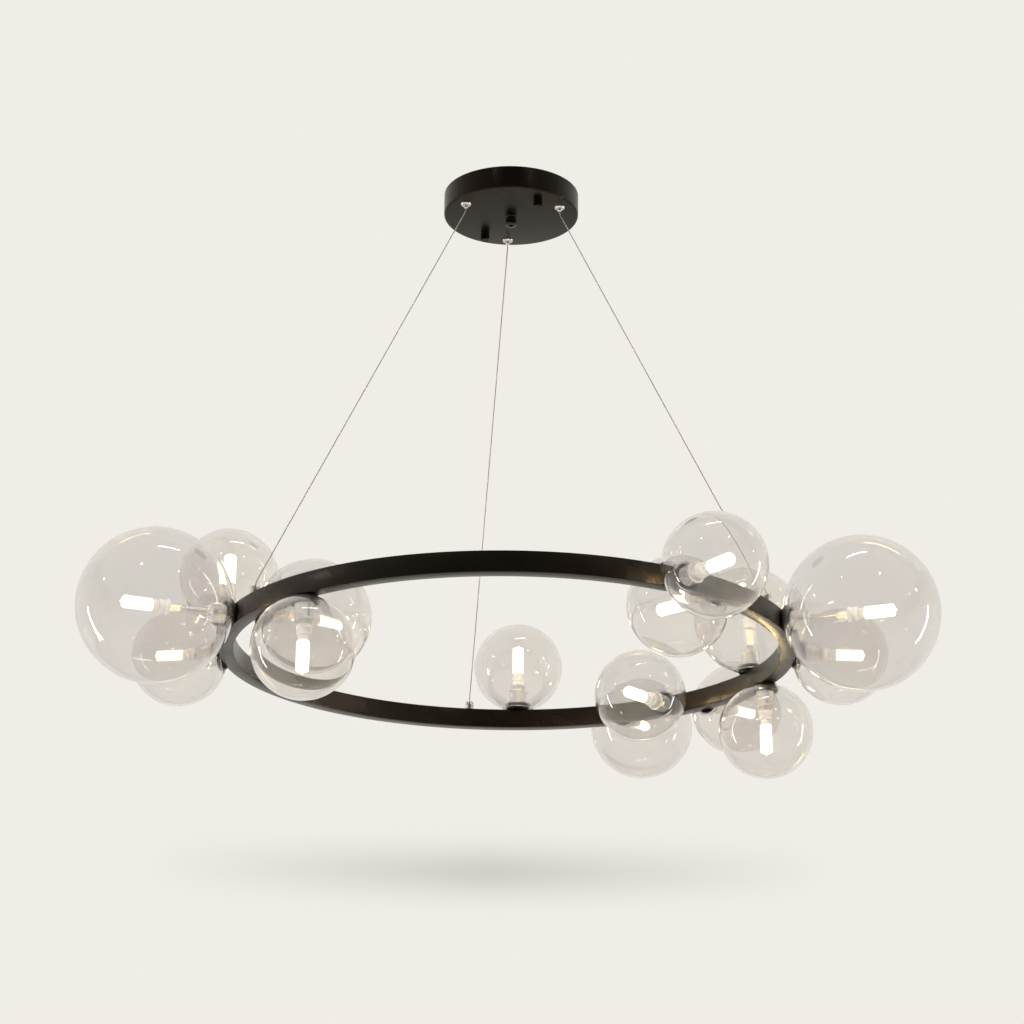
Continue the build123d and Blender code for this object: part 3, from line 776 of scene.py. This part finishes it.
def makeBulb(start):
    look = dict(base=7.25, baseLength=8.0, baseEdge=0.6, radius=8.0, neck=0.8, neckLength=3.0, round=2.4,
                glass=38.0, pip=1.2, pipLength=3.0, pin=0.9, pinLength=7.0, pinRoot=0.5, spacing=9.0,
                core=3.8, coreRound=1.4, coreEnds=(1.5, 3.0))
    radius, pip, corner = look["radius"], look["pip"], look["round"]
    shoulder = start + look["baseLength"]
    tip = shoulder + look["glass"]
    end = tip + look["pipLength"]
    wide, edge, neck = look["base"], look["baseEdge"], look["neck"]
    foot, top = start + 0.02, shoulder - 0.1  # clear of the lampholder and of the capsule
    base = turnedPiece("base", [(0, foot), (wide - edge, foot), (wide, start + edge), (wide, shoulder - edge),
                                (wide - 0.4, top), (0, top)], segments=48)
    shell = [(0, shoulder), (radius - neck, shoulder), (radius, shoulder + neck),
             (radius, shoulder + look["neckLength"])]
    shell += arcPoints((radius - corner, tip - corner), corner, 0, 84, 10)
    shell += arcPoints((0, end - pip), pip, 0, 90, 6)
    shell[-1] = (0, end)
    capsule = turnedPiece("capsule", shell, segments=48, smoothAngle=50)
    coreFoot, coreTop, soft = shoulder + look["coreEnds"][0], tip - look["coreEnds"][1], look["coreRound"]
    coreOutline = arcPoints((look["core"] - soft, coreFoot + soft), soft, -90, 0, 5)
    coreOutline += arcPoints((look["core"] - soft, coreTop - soft), soft, 0, 90, 5)
    core = turnedPiece("core", [(0, coreFoot)] + coreOutline + [(0, coreTop)], segments=32, smoothAngle=50)
    pins, thick, pinEnd, root = [], look["pin"], start - look["pinLength"], start + look["pinRoot"]
    for side in (-1, 1):
        pin = turnedPiece("pin", [(0, pinEnd), (thick * 0.6, pinEnd), (thick, pinEnd + 0.6), (thick, root),
                                  (0, root)], segments=16)
        pin.data.transform(Matrix.Translation((side * look["spacing"] / 2 * mm, 0, 0)))
        pins.append(pin)
    dress = ((capsule, capsuleGlass), (core, capsuleCore), (base, porcelain),
             (pins[0], zincSteel), (pins[1], zincSteel))
    for piece, material in dress:
        piece.data.materials.clear()
        piece.data.materials.append(material)
    return joined([piece for piece, material in dress], "bulb")


def makeLamps():
    globes, cup, collars = {}, makeCup(), [makeCollar(False), makeCollar(True)]
    for number in range(1, 16):
        place, diameter = lampFacts(number)
        size = round(diameter)
        if size not in globes:
            globes[size] = makeGlobe(diameter)
        globe = placedCopy(globes[size], f"globe{number}", place)
        finishPiece(globe, glass, "clear_glass", f"globe_{number}_body", f"globe_{number}")
        bulbStart = bulbReach(number) - lampSizes["bulb"]
        stemmed = bulbStart > lampSizes["collarEnd"] + lampSizes["holder"]
        holderStart = bulbStart - lampSizes["shortHolder" if stemmed else "holder"]
        lampCup = placedCopy(cup, f"lampCup{number}", place)
        finishPiece(lampCup, glossBlack, "black_paint", "frame", "lamp_cups")
        collar = placedCopy(collars[stemmed], f"lampCollar{number}", place)
        finishPiece(collar, satinNickel, "nickel", "frame", "lamp_collars")
        if stemmed:
            stem = makeStem(holderStart)
            stem.data.transform(place)
            stem.name = f"lampStem{number}"
            finishPiece(stem, nickel, "nickel", "frame", "lamp_stems")
        holder = makeHolder(holderStart, bulbStart)
        holder.data.transform(place)
        holder.name = f"lampholder{number}"
        finishPiece(holder, porcelain, "porcelain", "frame", "lampholders")
        bulb = makeBulb(bulbStart)
        bulb.data.transform(place)
        bulb.name = f"bulb{number}"
        finishPiece(bulb, None, "bulb_glass", f"bulb_{number}_body", f"bulb_{number}")
    discard(cup, *collars, *globes.values())


makeLamps()
print("lamps done")


# CAD pieces that keep their own shape
def dressNodes():
    looks = {
        "mounting_bar": zincSteel, "bar_studs": zincSteel, "gripper_nuts": zincSteel, "post_nuts": zincSteel,
        "tube_nuts": zincSteel, "lamp_tubes": zincSteel, "gland_nut": blackPlastic,
        "terminal_block": whitePlastic, "ring_loom": loomRubber,
    }
    for name, material in looks.items():
        for slot in frame["nodes"][name].material_slots:
            slot.material = material


dressNodes()


# studio
backdropTone = (0.871, 0.847, 0.791, 1)
lightAim = Vector((0, 0, -0.6))


def makeWorld():
    look = dict(ambient=0.62, dimFront=0.14, dimBelow=0.40,
                paintedShadowHeight=0.1925, paintedShadowSoft=0.0092, paintedShadowMiddle=-0.0065, paintedShadowHalf=0.135, paintedShadowDepth=0.27)
    world = bpy.data.worlds.new("studio")
    bpy.context.scene.world = world
    world.use_nodes = True
    nodes, links = world.node_tree.nodes, world.node_tree.links
    nodes.clear()

    def maths(operation, first, second=None):
        node = nodes.new("ShaderNodeMath")
        node.operation = operation
        for socket, value in zip(node.inputs, (first, second)):
            if value is None:
                continue
            if isinstance(value, (int, float)):
                socket.default_value = value
            else:
                links.new(value, socket)
        return node.outputs[0]

    place = nodes.new("ShaderNodeTexCoord")
    split = nodes.new("ShaderNodeSeparateXYZ")
    links.new(place.outputs["Generated"], split.inputs[0])
    x, y, z = split.outputs
    # painted shadow: a soft darker band in the backdrop ahead of the object, below the chandelier, seen by
    # camera and transmission rays; the object does not cast it
    offLevel = maths("DIVIDE", maths("SUBTRACT", z, look["paintedShadowHeight"]), look["paintedShadowSoft"])
    level = maths("EXPONENT", maths("MULTIPLY", maths("MULTIPLY", offLevel, offLevel), -1.0))
    offMiddle = maths("ABSOLUTE", maths("SUBTRACT", x, look["paintedShadowMiddle"]))
    side = between(nodes, links, offMiddle, 1.0, 0.0, 0.0, look["paintedShadowHalf"])
    ahead = maths("GREATER_THAN", y, 0.0)
    paintedShadow = maths("MULTIPLY", maths("MULTIPLY", level, side), ahead)
    # the backdrop's strength with the painted shadow taken off
    seen = maths("SUBTRACT", 1.0, maths("MULTIPLY", paintedShadow, look["paintedShadowDepth"]))
    glow = maths("MULTIPLY", between(nodes, links, y, look["dimFront"], 1.0, -0.9, 0.25),
                 between(nodes, links, z, look["dimBelow"], 1.0, -0.46, -0.30))
    path = nodes.new("ShaderNodeLightPath")
    straight = maths("MAXIMUM", path.outputs["Is Camera Ray"], path.outputs["Is Transmission Ray"])
    strength = maths("ADD", maths("MULTIPLY", straight, seen),
                     maths("MULTIPLY", maths("MULTIPLY", path.outputs["Is Glossy Ray"], glow),
                           maths("SUBTRACT", 1.0, straight)))
    other = maths("SUBTRACT", 1.0, maths("MAXIMUM", straight, path.outputs["Is Glossy Ray"]))
    strength = maths("ADD", strength, maths("MULTIPLY", other, look["ambient"]))
    sky = nodes.new("ShaderNodeBackground")
    sky.inputs["Color"].default_value = backdropTone
    output = nodes.new("ShaderNodeOutputWorld")
    links.new(strength, sky.inputs["Strength"])
    links.new(sky.outputs[0], output.inputs["Surface"])


def makeFloor():  # to the camera most of it takes the backdrop's tone, and light still bounces off it
    look = dict(size=9.0, level=-2.3, tone=(0.80, 0.78, 0.74, 1), share=0.88)
    startClean()
    bpy.ops.mesh.primitive_plane_add(size=look["size"], location=(0, 0, look["level"]))
    floor = bpy.context.object
    floor.name = "floor"
    material, nodes, links = emptyMaterial("paleFloor")
    shader = nodes.new("ShaderNodeBsdfPrincipled")
    shader.inputs["Base Color"].default_value = look["tone"]
    shader.inputs["Roughness"].default_value = 0.9
    plain = nodes.new("ShaderNodeEmission")
    plain.inputs["Color"].default_value = backdropTone
    path = nodes.new("ShaderNodeLightPath")
    seen = nodes.new("ShaderNodeMath")
    seen.operation = "MAXIMUM"
    links.new(path.outputs["Is Camera Ray"], seen.inputs[0])
    links.new(path.outputs["Is Transmission Ray"], seen.inputs[1])
    choose = nodes.new("ShaderNodeMixShader")
    output = nodes.new("ShaderNodeOutputMaterial")
    links.new(between(nodes, links, seen.outputs[0], 0.0, look["share"]), choose.inputs[0])
    links.new(shader.outputs[0], choose.inputs[1])
    links.new(plain.outputs[0], choose.inputs[2])
    links.new(choose.outputs[0], output.inputs["Surface"])
    floor.data.materials.append(material)


def areaLight(name, spot, size, power, tone):
    lamp = bpy.data.lights.new(name, "AREA")
    lamp.shape = "RECTANGLE"
    lamp.size, lamp.size_y = size
    lamp.energy = power
    lamp.color = tone
    holder = bpy.data.objects.new(name, lamp)
    bpy.context.collection.objects.link(holder)
    turn = (lightAim - Vector(spot)).to_track_quat("-Z", "Y")
    holder.matrix_world = Matrix.Translation(spot) @ turn.to_matrix().to_4x4()
    holder.visible_camera = False
    return holder


def makeLights():
    softboxes = [
        dict(name="keySoftbox", spot=(-2.2, -2.4, 1.2), size=(1.2, 1.6), power=55, tone=(1.0, 0.97, 0.93)),
        dict(name="fillSoftbox", spot=(2.6, -1.9, 0.4), size=(1.0, 1.4), power=35, tone=(1.0, 0.96, 0.92)),
        dict(name="topSoftbox", spot=(0.3, 0.6, 2.6), size=(1.8, 1.8), power=45, tone=(1.0, 0.98, 0.95)),
        dict(name="lowSoftbox", spot=(-0.6, -1.2, -2.2), size=(2.2, 1.2), power=25, tone=(1.0, 0.96, 0.92)),
    ]
    for look in softboxes:
        holder = areaLight(**look)
        holder.visible_glossy = False  # the globes show small points, not windows
        holder.visible_transmission = False
    glintTone, glintPower = (1.0, 0.97, 0.92), 100  # power for each square metre
    glints = [((-2.6, -0.8, 0.3), 0.11, 0.11), ((2.6, -0.6, 0.2), 0.11, 0.11),
              ((-1.1, -2.2, 1.3), 0.11, 0.11), ((1.3, -2.1, 1.2), 0.11, 0.11),
              ((-2.5, 0.3, -1.2), 0.08, 1.3), ((2.6, 0.2, -1.0), 0.08, 1.5), ((0.2, -0.7, 2.3), 1.2, 0.08)]
    for number, (spot, width, height) in enumerate(glints, 1):
        areaLight(f"glint{number}", spot, (width, height), glintPower * width * height, glintTone)


def makeCamera():
    look = dict(spot=(0, -3.2572, -1.6078), pitch=0.33477, yaw=0.00145, roll=0.00832, lens=89.14)
    pitch, yaw, roll = look["pitch"], look["yaw"], look["roll"]
    ahead = Vector((sin(yaw) * cos(pitch), cos(yaw) * cos(pitch), sin(pitch)))
    level = Vector((cos(yaw), -sin(yaw), 0))
    upright = level.cross(ahead)
    right = level * cos(roll) + upright * sin(roll)
    up = upright * cos(roll) - level * sin(roll)
    lens = bpy.data.cameras.new("camera")
    lens.lens = look["lens"]
    lens.clip_end = 50
    camera = bpy.data.objects.new("camera", lens)
    bpy.context.collection.objects.link(camera)
    turn = Matrix((right, up, -ahead)).transposed().to_4x4()
    camera.matrix_world = Matrix.Translation(look["spot"]) @ turn
    bpy.context.scene.camera = camera


makeWorld()
makeFloor()
makeLights()
makeCamera()
scene = bpy.context.scene
scene.view_settings.view_transform = "Standard"
scene.cycles.max_bounces = 24
scene.cycles.transmission_bounces = 24
scene.cycles.transparent_max_bounces = 24
print("studio done")
